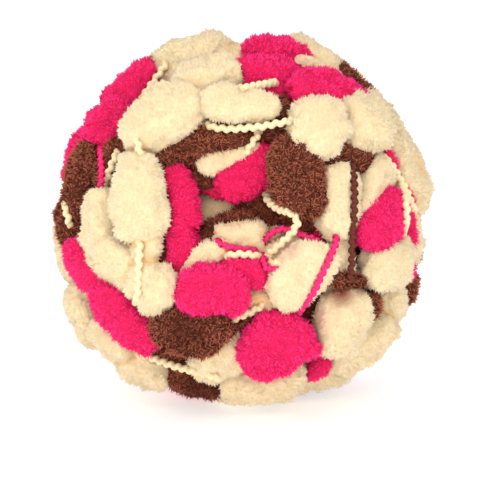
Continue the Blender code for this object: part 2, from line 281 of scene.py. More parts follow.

# Each dye: its colours at the tips and the roots of its pile, the roots darker as painted shade deep
# in the pile, and on its cord, how many tufts stand on a square millimetre, how long and wide they are
# in millimetres, how far they lean apart, how far apart the clumps that they gather in are, how deep the
# gaps between these are, how much tufts differ in tone, with painted shade at their clumps' edges, and
# how much patches do, how far up a tuft the root's painted shade goes, and how much of the light spreads
# through the yarn; then its cord's thickness and the length of one turn of its chain
Dye = namedtuple(
    "Dye",
    "slot label tip root cord density length width splay clump_size clump tuft_tones patch_tones"
    " shadow through thick pitch",
)
DYES = (
    Dye(
        CREAM, "Cream", (0.88, 0.752, 0.556), (0.93, 0.73, 0.35), (0.96, 0.82, 0.53),
        2.0, 2.0, 1.0, 0.5, 4.2, 0.85, 0.32, 0.24, 0.56, 0.15, 3.2, 3.27,
    ),
    Dye(
        PINK, "Pink", (1.0, 0.042, 0.24), (0.6, 0.003, 0.035), (0.97, 0.04, 0.22),
        2.0, 2.2, 1.0, 0.42, 4.4, 0.9, 0.52, 0.42, 0.7, 0.18, 2.8, 2.9,
    ),
    Dye(
        BROWN, "Brown", (0.44, 0.135, 0.075), (0.04, 0.008, 0.005), (0.15, 0.04, 0.025),
        1.9, 3.0, 0.88, 1.2, 2.8, 0.8, 1.5, 0.8, 0.9, 0.1, 3.0, 3.2,
    ),
)

# A wound pompom: its middle from the ball's middle, its axes along, across and out, half its sizes,
# its dye and its zone of the ball
Wound = namedtuple("Wound", "place axes half dye zone")


class BallSizes(bpy.types.PropertyGroup):
    """The wound ball and its pompoms, as the solid has them."""

    centre_height: FloatProperty(
        name="Centre Height", description="Up to the ball's middle", default=0.069, unit="LENGTH"
    )
    face_tilt: FloatProperty(
        name="Face Tilt", description="How far the face looks up", default=math.radians(8), subtype="ANGLE"
    )
    eye_distance: FloatProperty(
        name="Eye Distance", description="How far off the face is seen from", default=0.95, unit="LENGTH"
    )
    pompom_depth: FloatProperty(
        name="Pompom Depth", description="A pompom's depth for each unit of its width", default=0.88
    )
    pompom_fullness: FloatProperty(
        name="Pompom Fullness", description="2 is an egg, and more fills out its corners", default=2.7
    )
    lumpiness: FloatProperty(
        name="Lumpiness", description="How far the pile's lumps stand out", default=1.0
    )
    back_spots: IntProperty(
        name="Back Spots", description="Even spots all round, of which the back has its share", default=104
    )
    back_spacing: FloatProperty(
        name="Back Spacing",
        description="How far apart the back's pompoms lie",
        default=0.025,
        unit="LENGTH",
    )
    back_length: FloatProperty(
        name="Back Pompom Length", description="Along the cord", default=0.031, unit="LENGTH"
    )
    back_width: FloatProperty(
        name="Back Pompom Width", description="Across the cord", default=0.023, unit="LENGTH"
    )
    back_out: FloatProperty(
        name="Back Radius", description="How far out the back's pompoms lie", default=0.064, unit="LENGTH"
    )
    inner_spots: IntProperty(
        name="Inner Spots", description="Even spots for the pompoms under the outer ones", default=62
    )
    inner_out: FloatProperty(
        name="Inner Radius", description="How far out the inner pompoms lie", default=0.047, unit="LENGTH"
    )
    deep_spots: IntProperty(
        name="Deep Spots", description="Even spots for the pompoms under the inner ones", default=22
    )
    deep_out: FloatProperty(
        name="Deep Radius", description="How far out the deep pompoms lie", default=0.029, unit="LENGTH"
    )
    hollow_clear: FloatProperty(
        name="Hollow Clearance",
        description="Half the angle kept free of inner pompoms",
        default=0.62,
        subtype="ANGLE",
    )
    seed: IntProperty(
        name="Seed", description="Sets the small differences of the back and the inside", default=7
    )


class PileSizes(bpy.types.PropertyGroup):
    """The tufts of the pile."""

    softness: FloatProperty(
        name="Softness", description="How far a tuft takes its light as the whole pompom does", default=0.72
    )
    comb: FloatProperty(name="Comb", description="How far the tufts of a clump lean together", default=0.6)
    clump_stretch: FloatProperty(
        name="Clump Stretch", description="How much narrower a clump is along the cord", default=1.7
    )
    root_share: FloatProperty(
        name="Root Depth", description="Share of a tuft sunk in the body", default=0.3
    )
    press: FloatProperty(
        name="Cord Press", description="How deep a cord sinks into the pile", default=0.0012, unit="LENGTH"
    )


class CordSizes(bpy.types.PropertyGroup):
    """The thin cord that the pompoms sit on, a chain of small round links."""

    link_share: FloatProperty(
        name="Link Share", description="Half a link's width, for each unit of the cord's", default=0.4
    )
    link_length: FloatProperty(
        name="Link Length", description="A link's length for each unit of its width", default=1.28
    )
    link_turn: FloatProperty(
        name="Link Turn", description="How far each link turns aside", default=0.55, subtype="ANGLE"
    )
    lift: FloatProperty(
        name="Lift",
        description="How far the face's cords stand clear, and how far the back's sink in",
        default=0.0004,
        unit="LENGTH",
    )
    tuck: FloatProperty(
        name="Tuck", description="How far a cord's ends go in under the pile", default=0.004, unit="LENGTH"
    )
    back_spots: IntProperty(
        name="Back Cord Spots", description="Even spots all round; those well behind get a cord", default=28
    )


# What each setting of a dye is called, what it means, and its unit or subtype where it has one
DYE_SETTINGS = {
    "tip": ("Tip", "The pile's colour at its tips", "COLOR"),
    # painted shade: the darker colour deep in the pile, and between a cord's links
    "root": ("Root", "The pile's colour between tufts", "COLOR"),
    "cord": ("Cord", "The colour of bare cord", "COLOR"),
    "density": ("Density", "Tufts on each square millimetre", None),
    "length": ("Tuft Length", "From root to tip", "LENGTH"),
    "width": ("Tuft Width", "Across a tuft's root", "LENGTH"),
    "splay": ("Splay", "How far tufts lean apart at random", None),
    "clump_size": ("Clump Size", "Between clumps", "LENGTH"),
    "clump": ("Clump Depth", "How much shorter tufts are between clumps", None),
    # also how dark the painted shade at the clumps' edges is
    "tuft_tones": ("Tuft Tones", "How much tufts differ in tone", None),
    "patch_tones": ("Patch Tones", "How much patches differ in tone", None),
    # how far up a tuft the painted root shade goes
    "shadow": ("Shadow Height", "How far up a tuft its root's colour goes", None),
    "through": ("Light Through", "Share of the light that spreads in the yarn", None),
    "thick": ("Cord Thickness", "Across the cord", "LENGTH"),
    "pitch": ("Cord Pitch", "One turn of its chain", "LENGTH"),
}


def dye_look(dye):
    """A group of settings for one dye, with its row's values as defaults."""
    fields = {}
    for key, (name, description, measure) in DYE_SETTINGS.items():
        words = {"name": name, "description": description}
        value = getattr(dye, key)
        if measure == "COLOR":
            fields[key] = FloatVectorProperty(**words, default=value, subtype="COLOR")
        elif measure == "LENGTH":
            fields[key] = FloatProperty(**words, default=value * MM, unit="LENGTH")
        else:
            fields[key] = FloatProperty(**words, default=value)
    return type(dye.label + "Look", (bpy.types.PropertyGroup,), {"__annotations__": fields})


CreamLook, PinkLook, BrownLook = [dye_look(dye) for dye in DYES]


class StageLook(bpy.types.PropertyGroup):
    """The plain stage: floor, light and camera."""

    floor_size: FloatProperty(
        name="Floor Size", description="Side of the floor", default=8.0, unit="LENGTH"
    )
    floor_tone: FloatProperty(name="Floor Tone", description="How light the floor is", default=0.72)
    floor_glow: FloatProperty(
        name="Floor Glow", description="Light through the floor, as on a light table", default=0.56
    )
    sky: FloatProperty(name="Sky Light", description="Strength of the light all round", default=1.0)
    key_power: FloatProperty(name="Key Power", description="Watts of the soft main light", default=3.2)
    fill_power: FloatProperty(
        name="Fill Power", description="Watts of the low light in front", default=3.0
    )
    key_size: FloatProperty(
        name="Light Size", description="Side of the main and the low light", default=0.9, unit="LENGTH"
    )
    aim_across: FloatProperty(
        name="Aim Across",
        description="How far right of the ball's middle the camera looks",
        default=-0.0012,
        unit="LENGTH",
    )
    aim_up: FloatProperty(
        name="Aim Up",
        description="How far above the ball's middle the camera looks",
        default=-0.0073,
        unit="LENGTH",
    )
    view_width: FloatProperty(
        name="View Width",
        description="Width of the picture at the ball's middle",
        default=0.1848,
        unit="LENGTH",
    )


class YarnBallSettings(bpy.types.PropertyGroup):
    """All that a user would change."""

    ball: PointerProperty(type=BallSizes)
    pile: PointerProperty(type=PileSizes)
    cord: PointerProperty(type=CordSizes)
    cream: PointerProperty(type=CreamLook)
    pink: PointerProperty(type=PinkLook)
    brown: PointerProperty(type=BrownLook)
    stage: PointerProperty(type=StageLook)


def settings():
    """The scene's settings for the ball."""
    return bpy.context.scene.yarn_ball


def look_of(dye):
    """The scene's settings for one dye."""
    return getattr(settings(), dye.label.lower())


def unit(ways):
    """The same ways at length one."""
    return ways / np.linalg.norm(ways, axis=-1, keepdims=True)


def face_axes():
    """Across the face, up it, and straight into it."""
    tilt = settings().ball.face_tilt
    across = np.array((1.0, 0.0, 0.0))
    up = np.array((0.0, math.sin(tilt), math.cos(tilt)))
    into = np.array((0.0, math.cos(tilt), -math.sin(tilt)))
    return across, up, into


def eye_ray(across, up):
    """The eye's place and the direction in which it sees this place of the face."""
    to_right, to_top, into = face_axes()
    eye = -into * settings().ball.eye_distance
    return eye, unit(to_right * across + to_top * up - eye)


def seat(across, up, out):
    """The place, from the ball's middle, that shows at across and up on the face and lies this far out."""
    eye, ray = eye_ray(across, up)
    nearest = -eye @ ray
    reach = out * out - (eye @ eye - nearest * nearest)
    if reach < 0:
        return unit(eye + ray * nearest) * out
    return eye + ray * (nearest - math.sqrt(reach))


def lie(place, direction):
    """Axes of a pompom: along its cord, across it, and out of the ball."""
    outward = unit(place)
    along = unit(direction - outward * (direction @ outward))
    return np.array((along, np.cross(outward, along), outward))


STEEPEST_TURN = 0.6          # how far a pompom's long axis may turn into the ball, for each unit across
LEAST_FACING = 0.6           # the least that a place counts as facing the eye when that is worked out


def face_pompom(row, zone):
    """A pompom of the face, laid where it shows."""
    across, up, into = face_axes()
    place = seat(row.across * MM, row.up * MM, row.out * MM)
    lean = math.radians(row.lean)
    level = across * math.cos(lean) + up * math.sin(lean)
    outward = unit(place)
    turn = (level @ outward) / max(-outward @ into, LEAST_FACING)
    turn = max(-STEEPEST_TURN, min(STEEPEST_TURN, turn))
    depth = row.wide * settings().ball.pompom_depth
    half = np.array((row.long, row.wide, depth)) * MM / 2
    return Wound(place, lie(place, level + into * turn), half, row.dye, zone)


GOLDEN_TURN = math.pi * (3 - math.sqrt(5))


def even_spots(count):
    """Evenly spread directions over the whole ball, along a golden spiral."""
    numbers = np.arange(count) + 0.5
    height = 1 - 2 * numbers / count
    turn = numbers * GOLDEN_TURN
    ring = np.sqrt(1 - height * height)
    return np.stack((ring * np.cos(turn), ring * np.sin(turn), height), axis=1)


BACK_EDGE = -0.10            # where the back starts, as a cosine from straight back
BACK_STEPS = 60              # how many times the back's spots push each other apart
BACK_PUSH = 0.12             # how far a spot goes each time, as a share of the push
NEAREST_SHARE = 0.62         # nearer the face's pompoms than this share of the spacing, none starts
EDGE_DRAW = 0.06             # how much further in the back's pompoms lie where they edge the face
EDGE_REACH = 0.45            # how far round that goes, as a cosine
BACK_SIZES = (0.92, 1.1)     # the least and most of what is left to chance, as shares
BACK_OUTS = (0.97, 1.03)
INNER_OUTS = (0.96, 1.03)
BACK_SWAY = (-0.35, 0.35)    # how far a pompom of the back turns off its winding
HOLLOW_MIDDLE = (-5, 9)      # across and up, in millimetres


def spread_back(fixed):
    """Even spots over the sides and the back, pushed apart until they lie side by side."""
    sizes = settings().ball
    into = face_axes()[2]
    spots = even_spots(sizes.back_spots)
    spots = spots[spots @ into > BACK_EDGE]
    apart = np.linalg.norm(spots[:, None] - fixed[None], axis=2).min(axis=1) * sizes.back_out
    spots = spots[apart > sizes.back_spacing * NEAREST_SHARE]
    for step in range(BACK_STEPS):
        others = np.concatenate((spots, fixed))
        away = spots[:, None] - others[None]
        gap = np.linalg.norm(away, axis=2) * sizes.back_out
        gap[gap == 0] = np.inf
        push = np.clip(sizes.back_spacing - gap, 0, None) / sizes.back_spacing
        moved = (away / gap[..., None] * push[..., None]).sum(axis=1) * sizes.back_out
        spots = unit(spots + moved * BACK_PUSH)
    return spots


def usual_half():
    """Half the sizes of a pompom that the photograph doesn't show."""
    sizes = settings().ball
    width = sizes.back_width
    return np.array((sizes.back_length, width, width * sizes.pompom_depth)) / 2


def back_pompoms(face):
    """The pompoms that the face doesn't show, each along the winding that crosses its patch."""
    sizes = settings().ball
    chance = random.Random(sizes.seed)
    into = face_axes()[2]
    fixed = unit(np.array([pompom.place for pompom in face]))
    crossed = unit(np.array([winding.patch for winding in WINDINGS]))
    made = []
    for number, spot in enumerate(spread_back(fixed)):
        winding = WINDINGS[int(np.argmax(crossed @ spot))]
        size = chance.uniform(*BACK_SIZES)
        drawn = EDGE_DRAW * max(0, 1 - abs(spot @ into) / EDGE_REACH)
        place = spot * sizes.back_out * (chance.uniform(*BACK_OUTS) - drawn)
        sway = np.array([chance.uniform(*BACK_SWAY) for axis in range(3)])
        axes = lie(place, unit(np.cross(winding.axis, spot)) + sway)
        made.append(Wound(place, axes, usual_half() * size, BACK_DYES[number % len(BACK_DYES)], "back"))
    return made


def inner_pompoms():
    """The pompoms under the outer ones, which show in the gaps, with the hollow left open."""
    sizes = settings().ball
    chance = random.Random(sizes.seed + 1)
    middle = unit(seat(HOLLOW_MIDDLE[0] * MM, HOLLOW_MIDDLE[1] * MM, sizes.back_out))
    under = [spot * sizes.inner_out for spot in even_spots(sizes.inner_spots)]
    under = [place for place in under if unit(place) @ middle < math.cos(sizes.hollow_clear)]
    deep = [spot * sizes.deep_out for spot in even_spots(sizes.deep_spots)]
    made = []
    for number, place in enumerate(under + deep):
        place = place * chance.uniform(*INNER_OUTS)
        axes = lie(place, np.array([chance.uniform(-1, 1) for axis in range(3)]))
        made.append(Wound(place, axes, usual_half(), INNER_DYES[number % len(INNER_DYES)], "inner"))
    return made


def wound_pompoms():
    """Every pompom of the ball."""
    face = [face_pompom(row, zone) for zone, rows in FACE_ZONES.items() for row in rows]
    return face + back_pompoms(face) + inner_pompoms()


def first_hits(origins, rays, pompoms):
    """How far along each ray it meets the first pompom, or passes nearest the ball's middle if none."""
    axes = np.array([pompom.axes for pompom in pompoms])
    half = np.array([pompom.half for pompom in pompoms])
    places = np.array([pompom.place for pompom in pompoms])
    across = np.einsum("pij,nj->npi", axes, rays) / half
    start = np.einsum("pij,npj->npi", axes, origins[:, None] - places) / half
    square = (across * across).sum(axis=2)
    lead = (across * start).sum(axis=2)
    inside = lead * lead - square * ((start * start).sum(axis=2) - 1)
    hits = np.where(inside > 0, (-lead - np.sqrt(np.clip(inside, 0, None))) / square, np.inf).min(axis=1)
    return np.where(hits < np.inf, hits, -(origins * rays).sum(axis=1))


def ball_reach(directions, pompoms):
    """How far out the ball reaches in each of these directions."""
    far = 2 * settings().ball.back_out
    return far - first_hits(directions * far, -directions, pompoms)


def curve_through(points, step):
    """Points a step apart on a smooth curve through these."""
    points = np.array(points, float)
    before = np.concatenate((points[:1] * 2 - points[1:2], points[:-1]))
    after = np.concatenate((points[1:], points[-1:] * 2 - points[-2:-1]))
    ahead = np.concatenate((after[1:], after[-1:] * 2 - points[-1:]))
    made = []
    for number in range(len(points) - 1):
        near, far = points[number], points[number + 1]
        pull_near = (far - before[number]) / 2
        pull_far = (ahead[number] - near) / 2
        count = max(2, int(np.linalg.norm(far - near) / step))
        for share in np.arange(count) / count:
            square, cube = share * share, share**3
            made.append(
                near * (2 * cube - 3 * square + 1)
                + pull_near * (cube - 2 * square + share)
                + far * (3 * square - 2 * cube)
                + pull_far * (cube - square)
            )
    made.append(points[-1])
    return np.array(made)


def taut(along, height):
    """The height of a string pulled taut over these heights, between its two ends."""
    hull = []
    for spot in zip(along, height):
        while len(hull) > 1:
            (x0, y0), (x1, y1) = hull[-2:]
            if (x1 - x0) * (spot[1] - y0) < (y1 - y0) * (spot[0] - x0):
                break
            hull.pop()
        hull.append(spot)
    return np.interp(along, [x for x, y in hull], [y for x, y in hull])


CORD_STEP = 1 * MM           # between the points of a path
TUCK_RUN = 3 * MM            # how long the end is that goes in under the pile
SAG_RUN = 5                  # steps either way over which a cord of the back follows the pompoms
BACK_START = 0.35            # how near the face such a cord may have its middle, as a cosine
BACK_BEND = (-0.3, 0.3)      # how far it bends aside, as a share of the ball's radius
BACK_BEND_TURNS = 3          # and how many times as fast as it goes round
BACK_RUN = (0.5, 1.0)        # how far round the ball it goes, in radians


def settled(height):
    """The heights of a soft string that rests on these."""
    around = np.pad(height, SAG_RUN, mode="edge")
    high = np.max(np.lib.stride_tricks.sliding_window_view(around, 2 * SAG_RUN + 1), axis=1)
    around = np.pad(high, SAG_RUN, mode="edge")
    return np.mean(np.lib.stride_tricks.sliding_window_view(around, 2 * SAG_RUN + 1), axis=1)


def tucked(along):
    """How much of the tuck each point takes: all at the two ends and none between."""
    end = np.minimum(along, along[-1] - along)
    return np.clip(1 - end / TUCK_RUN, 0, None) ** 2


def face_cord(cord, pompoms):
    """Points of a cord that lies taut over the face's pompoms, where it shows, and the ways they face."""
    sizes = settings().cord
    flat = curve_through(np.array(cord.path) * MM, CORD_STEP)
    along = np.concatenate(((0,), np.cumsum(np.linalg.norm(np.diff(flat, axis=0), axis=1))))
    eyes, rays = (np.array(part) for part in zip(*[eye_ray(across, up) for across, up in flat]))
    height = taut(along, -first_hits(eyes, rays, pompoms)) + sizes.lift - cord.sunk * MM
    height -= tucked(along) * sizes.tuck
    return eyes - rays * height[:, None], -rays


def back_cords(pompoms):
    """Long stretches of cord that cross the back, each resting on the pompoms along a winding."""
    sizes = settings().cord
    ball = settings().ball
    chance = random.Random(ball.seed + 2)
    into = face_axes()[2]
    outer = [pompom for pompom in pompoms if pompom.zone != "inner"]
    starts = [spot for spot in even_spots(sizes.back_spots) if spot @ into > BACK_START]
    made = []
    for number, start in enumerate(starts):
        winding = WINDINGS[number % len(WINDINGS)]
        way = unit(np.cross(winding.axis, start))
        bend = np.cross(start, way) * chance.uniform(*BACK_BEND)
        length = chance.uniform(*BACK_RUN)
        turns = np.linspace(-length / 2, length / 2, int(length * ball.back_out / CORD_STEP))
        spots = unit(
            start * np.cos(turns)[:, None]
            + way * np.sin(turns)[:, None]
            + bend * (np.cos(turns * BACK_BEND_TURNS) - 1)[:, None]
        )
        along = (turns - turns[0]) * ball.back_out
        height = settled(ball_reach(spots, outer)) - sizes.lift - tucked(along) * sizes.tuck
        made.append((BACK_DYES[(number * 2) % len(BACK_DYES)], spots * height[:, None], spots))
    return made


def all_cords(pompoms):
    """Each stretch of cord as its dye, its points from the ball's middle and the ways these face."""
    shown = [pompom for pompom in pompoms if pompom.zone != "inner"]
    face = [(cord.dye, *face_cord(cord, shown)) for cord in FACE_CORDS]
    return face + back_cords(pompoms)


SMALL_LENGTH = 16 * MM       # a pompom shorter than this has a coarser body
FINE_BODY = 440              # points of a body
COARSE_BODY = 160
PILE_STAND = 0.5 * MM        # how far a pompom's body lies under the sizes in its row
WARP = 1.6 * MM              # how far whole pompoms are pushed out of true
WARP_ACROSS = 24 * MM        # and how far apart the pushes lie
WARP_SEED = 7                # without a seed the pushes would differ from run to run
FLOOR_TOUCH = 0.5 * MM       # where bodies press flat, above the table
FLOOR_SOFTNESS = 1.2 * MM    # and how high up they start to
FLOOR_BARE = 0.5 * MM        # no pile stands this near to where they press flat
FLOOR_FULL = 2 * MM          # and it is whole from here up
LOWEST_TUFT = 0.1 * MM       # no tip comes nearer to the table
SEEN_MARGIN = 5 * MM         # how deep inner pile counts as lying where it just shows in a gap
BALL_SHARE = 0.5             # how far a pompom takes its light as the whole ball does
PILE_LIE = 0.4               # how far the pile points away from the cord, not straight off the body
BODY_TIP = 0.38              # a body's colour, as the height up a tuft that has it, with part of the painted root shade
MIDDLE_TONE = 0.5            # the tone that is neither light nor dark
CORD_GROOVE = 2.6 * MM       # half the width of the groove that a cord presses
CORD_BARE = 1.5 * MM         # no tuft is rooted this near a cord's middle
CORD_FULL = 2.1 * MM         # and the pile is whole from here out
BURIED = 0.95                # how far out in another pompom no pile stands, on that one's own scale
UNBURIED = 1.01              # and from where it is whole
SHALLOW = 6 * MM             # pile this far under the ball's outside is whole
DEEP = 9.5 * MM              # and there is none from here in, where nothing shows
TINY = 1e-6                  # keeps a direction from having no length
LUMPY_WIDTH = 9 * MM         # half the width from which a pompom's lumps have their full height
HEAP_LEVEL = 0.2             # what a heap's height is measured from, so that none swells a pompom

# Painted shade deep in the ball: how dark a dye is made at the bottom of the hollow, its colour there, and
# how much of it
DEPTH_SHADE = {
    CREAM: ((0.78, 0.5, 0.29), 0.6),
    PINK: ((0.6, 0.008, 0.05), 0.7),
    BROWN: ((0.12, 0.02, 0.012), 0.5),
}
DEPTH_SHADE_FULL = 42 * MM       # how far out the bottom lies, where the painted shade is whole, and how far out the rim, where it is gone
DEPTH_SHADE_GONE = 68 * MM

# The lumps of the pile: how far apart they lie, how high they stand, and whether they are round
# heaps with creases between them
Lump = namedtuple("Lump", "across high heaped")
LUMPS = (
    Lump(15 * MM, 1.6 * MM, False),
    Lump(9 * MM, 3.6 * MM, True),
    Lump(4.5 * MM, 2.2 * MM, True),
)


def blend_between(value, low, high):
    """A smooth step from 0 at low to 1 at high."""
    share = np.clip((value - low) / (high - low), 0, 1)
    return share * share * (3 - 2 * share)


@lru_cache
def round_skin(count):
    """Even directions all round, and the triangles between them."""
    bm = bmesh.new()
    for spot in even_spots(count):
        bm.verts.new(spot)
    bm.verts.index_update()
    bmesh.ops.convex_hull(bm, input=bm.verts)
    bmesh.ops.recalc_face_normals(bm, faces=bm.faces)
    spots = np.array([vert.co[:] for vert in bm.verts])
    faces = np.array([[vert.index for vert in face.verts] for face in bm.faces])
    bm.free()
    return spots, faces


def own_reach(spots, fullness):
    """How far out places on a pompom's own scale are, with 1 at its surface."""
    return (np.abs(spots) ** fullness).sum(axis=-1) ** (1 / fullness)


def on_own_scale(places, pompom):
    """Places from the ball's middle on the pompom's own scale."""
    return (places - pompom.place) @ pompom.axes.T / pompom.half


def lumps_at(places):
    """How far the pile's lumps stand out at these places."""
    high = np.zeros(len(places))
    for lump in LUMPS:
        wave = np.array([noise.noise(Vector(place)) for place in places / lump.across])
        high += lump.high * (np.abs(wave) - HEAP_LEVEL if lump.heaped else wave)
    return high


def warped(places):
    """Places pushed out of true, as neighbouring pompoms push each other."""
    noise.seed_set(WARP_SEED)
    pushes = [noise.noise_vector(Vector(place)) for place in places / WARP_ACROSS]
    return places + WARP * np.array(pushes)


class CordTree:
    """Finds the cord nearest to a place."""

    def __init__(self, cords):
        points = np.concatenate([path for dye, path, facing in cords])
        self.tree = kdtree.KDTree(len(points))
        for number, point in enumerate(points):
            self.tree.insert(point, number)
        self.tree.balance()

    def distance(self, places):
        """How far each place is from its nearest cord."""
        return np.array([self.tree.find(place)[2] for place in places])


def painted_shade_and_stains(places, pompom, near):
    """The colour and amount laid on a pompom at these places: painted shade deep in the ball and in its
    creases, painted reflected colour beside other dyes, and real stains.
    """
    stain = np.zeros((len(places), 4))
    # painted shade, darker the deeper in the ball a place lies
    deep, amount = DEPTH_SHADE[pompom.dye]
    out = np.linalg.norm(places, axis=1)
    stain[:, :3] = deep
    stain[:, 3] = amount * (1 - blend_between(out, DEPTH_SHADE_FULL, DEPTH_SHADE_GONE))
    # painted shade and painted reflected colour where cream meets other pompoms
    if pompom.dye == CREAM:
        for other in near:
            crease_shade = CREASE_SHADES[other.dye]
            past = own_reach(on_own_scale(places, other), 2) - 1
            lay_stain_and_shade(stain, crease_shade.colour, crease_shade.amount * (1 - blend_between(past, 0, crease_shade.reach)))
    across, up, into = face_axes()
    depth = places @ into
    eye_distance = settings().ball.eye_distance
    spread = eye_distance / (eye_distance + depth)
    # real stains, and patches of painted shade and painted reflection in the face
    for row in STAINS_AND_SHADE:
        if row.dye != pompom.dye:
            continue
        off = np.hypot(places @ across * spread - row.across * MM, places @ up * spread - row.up * MM)
        faded = 1 - blend_between(off, 0, row.reach * MM)
        lay_stain_and_shade(stain, row.colour, row.strength * faded * (depth < 0))
    return stain


def lay_stain_and_shade(stain, colour, amount):
    """Puts a colour in wherever it is stronger than the stains and painted shade laid so far."""
    more = amount > stain[:, 3]
    stain[more] = np.column_stack((np.tile(colour, (more.sum(), 1)), amount[more]))


def hidden(places, pompom, outer):
    """How far places are out of sight, from 0 to 1, deep under the outer pompoms."""
    if pompom.zone == "hollow":
        return 0
    out = np.linalg.norm(places, axis=1)
    depth = ball_reach(places / out[:, None], outer) - out
    if pompom.zone == "inner":
        eye = eye_ray(0, 0)[0]
        hits = first_hits(np.tile(eye, (len(places), 1)), unit(places - eye), outer)
        behind = np.linalg.norm(places - eye, axis=1) - hits
        depth = np.minimum(depth, behind + SEEN_MARGIN)
    return blend_between(depth, SHALLOW, DEEP)


def pompom_body(pompom, near, outer, cords):
    """A pompom's body: its points, triangles, and the marks that its pile goes by at each point."""
    sizes = settings().ball
    pile = settings().pile
    small = pompom.half[0] * 2 < SMALL_LENGTH or pompom.zone == "inner"
    skin, faces = round_skin(COARSE_BODY if small else FINE_BODY)
    own = skin / own_reach(skin, sizes.pompom_fullness)[:, None]
    places = own * (pompom.half - PILE_STAND) @ pompom.axes + pompom.place
    slope = np.sign(own) * np.abs(own) ** (sizes.pompom_fullness - 1)
    normal = unit(slope / pompom.half @ pompom.axes)
    lump = lumps_at(places) * sizes.lumpiness * min(1, pompom.half[1] / LUMPY_WIDTH)
    places = places + normal * lump[:, None]
    cord_off = cords.distance(places)
    groove = np.clip(1 - cord_off / CORD_GROOVE, 0, None)
    places = places - normal * (pile.press * groove * (2 - groove))[:, None]

    cover = blend_between(cord_off, CORD_BARE, CORD_FULL)
    for other in near:
        past = own_reach(on_own_scale(places, other), sizes.pompom_fullness)
        cover *= blend_between(past, BURIED, UNBURIED)
    cover *= 1 - hidden(places, pompom, outer)
    stain = painted_shade_and_stains(places, pompom, near)
    places = warped(places)

    touch = FLOOR_TOUCH - sizes.centre_height
    low = places[:, 2] - touch
    places[:, 2] = touch + (low + np.sqrt(low * low + FLOOR_SOFTNESS**2)) / 2
    cover *= blend_between(places[:, 2] - touch, FLOOR_BARE, FLOOR_FULL)

    aside = np.concatenate((np.zeros((len(own), 1)), own[:, 1:] + TINY), axis=1)
    radial = unit(aside @ pompom.axes)
    marks = {
        "cover": cover,
        "lay": unit(normal * (1 - PILE_LIE) + radial * PILE_LIE),
        "swell": unit(normal * (1 - BALL_SHARE) + unit(places) * BALL_SHARE),
        "along": np.tile(pompom.axes[0], (len(own), 1)),
        "outward": np.tile(pompom.axes[2], (len(own), 1)),
        "stain": stain,
        "tip": np.full(len(own), BODY_TIP),
        "shade": np.full(len(own), MIDDLE_TONE),
    }
    return places, faces, marks


def neighbours(pompom, pompoms):
    """The other pompoms that may touch this one."""
    return [
        other
        for other in pompoms
        if other is not pompom
        and np.linalg.norm(other.place - pompom.place) < other.half.max() + pompom.half.max()
    ]


# What a body's points are marked with: how thick its pile stands, the way that lies, the pompom's
# own roundness, its axes along the cord and out of the ball, the stains, painted shade and painted
# reflected colour laid on it, and where a point lies in its pile
MARKS = {
    "cover": "FLOAT",
    "lay": "FLOAT_VECTOR",
    "swell": "FLOAT_VECTOR",
    "along": "FLOAT_VECTOR",
    "outward": "FLOAT_VECTOR",
    "stain": "FLOAT_COLOR",
    "tip": "FLOAT",
    "shade": "FLOAT",
}
KEYS = {"FLOAT": "value", "FLOAT_VECTOR": "vector", "FLOAT_COLOR": "color"}


def store(mesh, name, kind, values):
    """Keeps values on the mesh's points under a name."""
    kept = mesh.attributes.new(name, kind, "POINT")
    kept.data.foreach_set(KEYS[kind], np.ravel(values).astype(np.float32))


def bodies_mesh(piece, pompoms, cords):
    """One mesh of all the bodies of a piece, with what their pile does."""
    outer = [pompom for pompom in pompoms if pompom.zone != "inner"]
    places = []
    faces = []
    marks = {name: [] for name in MARKS}
    for pompom in pompoms:
        if pompom.dye != piece.dye or pompom.zone not in piece.zones:
            continue
        made = pompom_body(pompom, neighbours(pompom, pompoms), outer, cords)
        faces.extend((made[1] + len(places)).tolist())
        places.extend(made[0].tolist())
        for name, values in made[2].items():
            marks[name].append(values)
    places = np.array(places)
    places[:, 2] += settings().ball.centre_height
    mesh = bpy.data.meshes.new(piece.name)
    mesh.from_pydata(places.tolist(), [], faces)
    for name, kind in MARKS.items():
        store(mesh, name, kind, np.concatenate(marks[name]))
    return mesh


def add(tree, kind, values=None, **options):
    """A node of this kind with its options, and its inputs set or linked."""
    made = tree.nodes.new(kind)
    for name, value in options.items():
        setattr(made, name, value)
    for name, value in (values or {}).items():
        if isinstance(value, bpy.types.NodeSocket):
            tree.links.new(value, made.inputs[name])
        else:
            made.inputs[name].default_value = value
    return made


def got(tree, kind, values=None, **options):
    """What a node puts out first."""
    return add(tree, kind, values, **options).outputs[0]


def maths(tree, operation, *values):
    """What a sum on numbers comes to."""
    return got(tree, "ShaderNodeMath", dict(enumerate(values)), operation=operation)


def vectors(tree, operation, *values):
    """What a sum on vectors comes to."""
    return got(tree, "ShaderNodeVectorMath", dict(enumerate(values)), operation=operation)


def scaled(tree, vector, share):
    """The vector times a number."""
    return got(tree, "ShaderNodeVectorMath", {0: vector, "Scale": share}, operation="SCALE")


def soft_step(tree, value, low, high):
    """A smooth step from 0 at low to 1 at high."""
    ends = {"Value": value, "From Min": low, "From Max": high}
    return got(tree, "ShaderNodeMapRange", ends, interpolation_type="SMOOTHSTEP")


def mark(tree, name, kind="FLOAT_VECTOR"):
    """What the points are marked with under this name."""
    return got(tree, "GeometryNodeInputNamedAttribute", {"Name": name}, data_type=kind)


def marked(tree, shape, name, value, kind="FLOAT", domain="POINT"):
    """The shape with a value marked on it under this name."""
    values = {"Geometry": shape, "Name": name, "Value": value}
    return got(tree, "GeometryNodeStoreNamedAttribute", values, data_type=kind, domain=domain)


def chance_vector(tree, low, high, seed):
    """A random vector for each point."""
    values = {"Min": low, "Max": high, "Seed": seed}
    return got(tree, "FunctionNodeRandomValue", values, data_type="FLOAT_VECTOR")


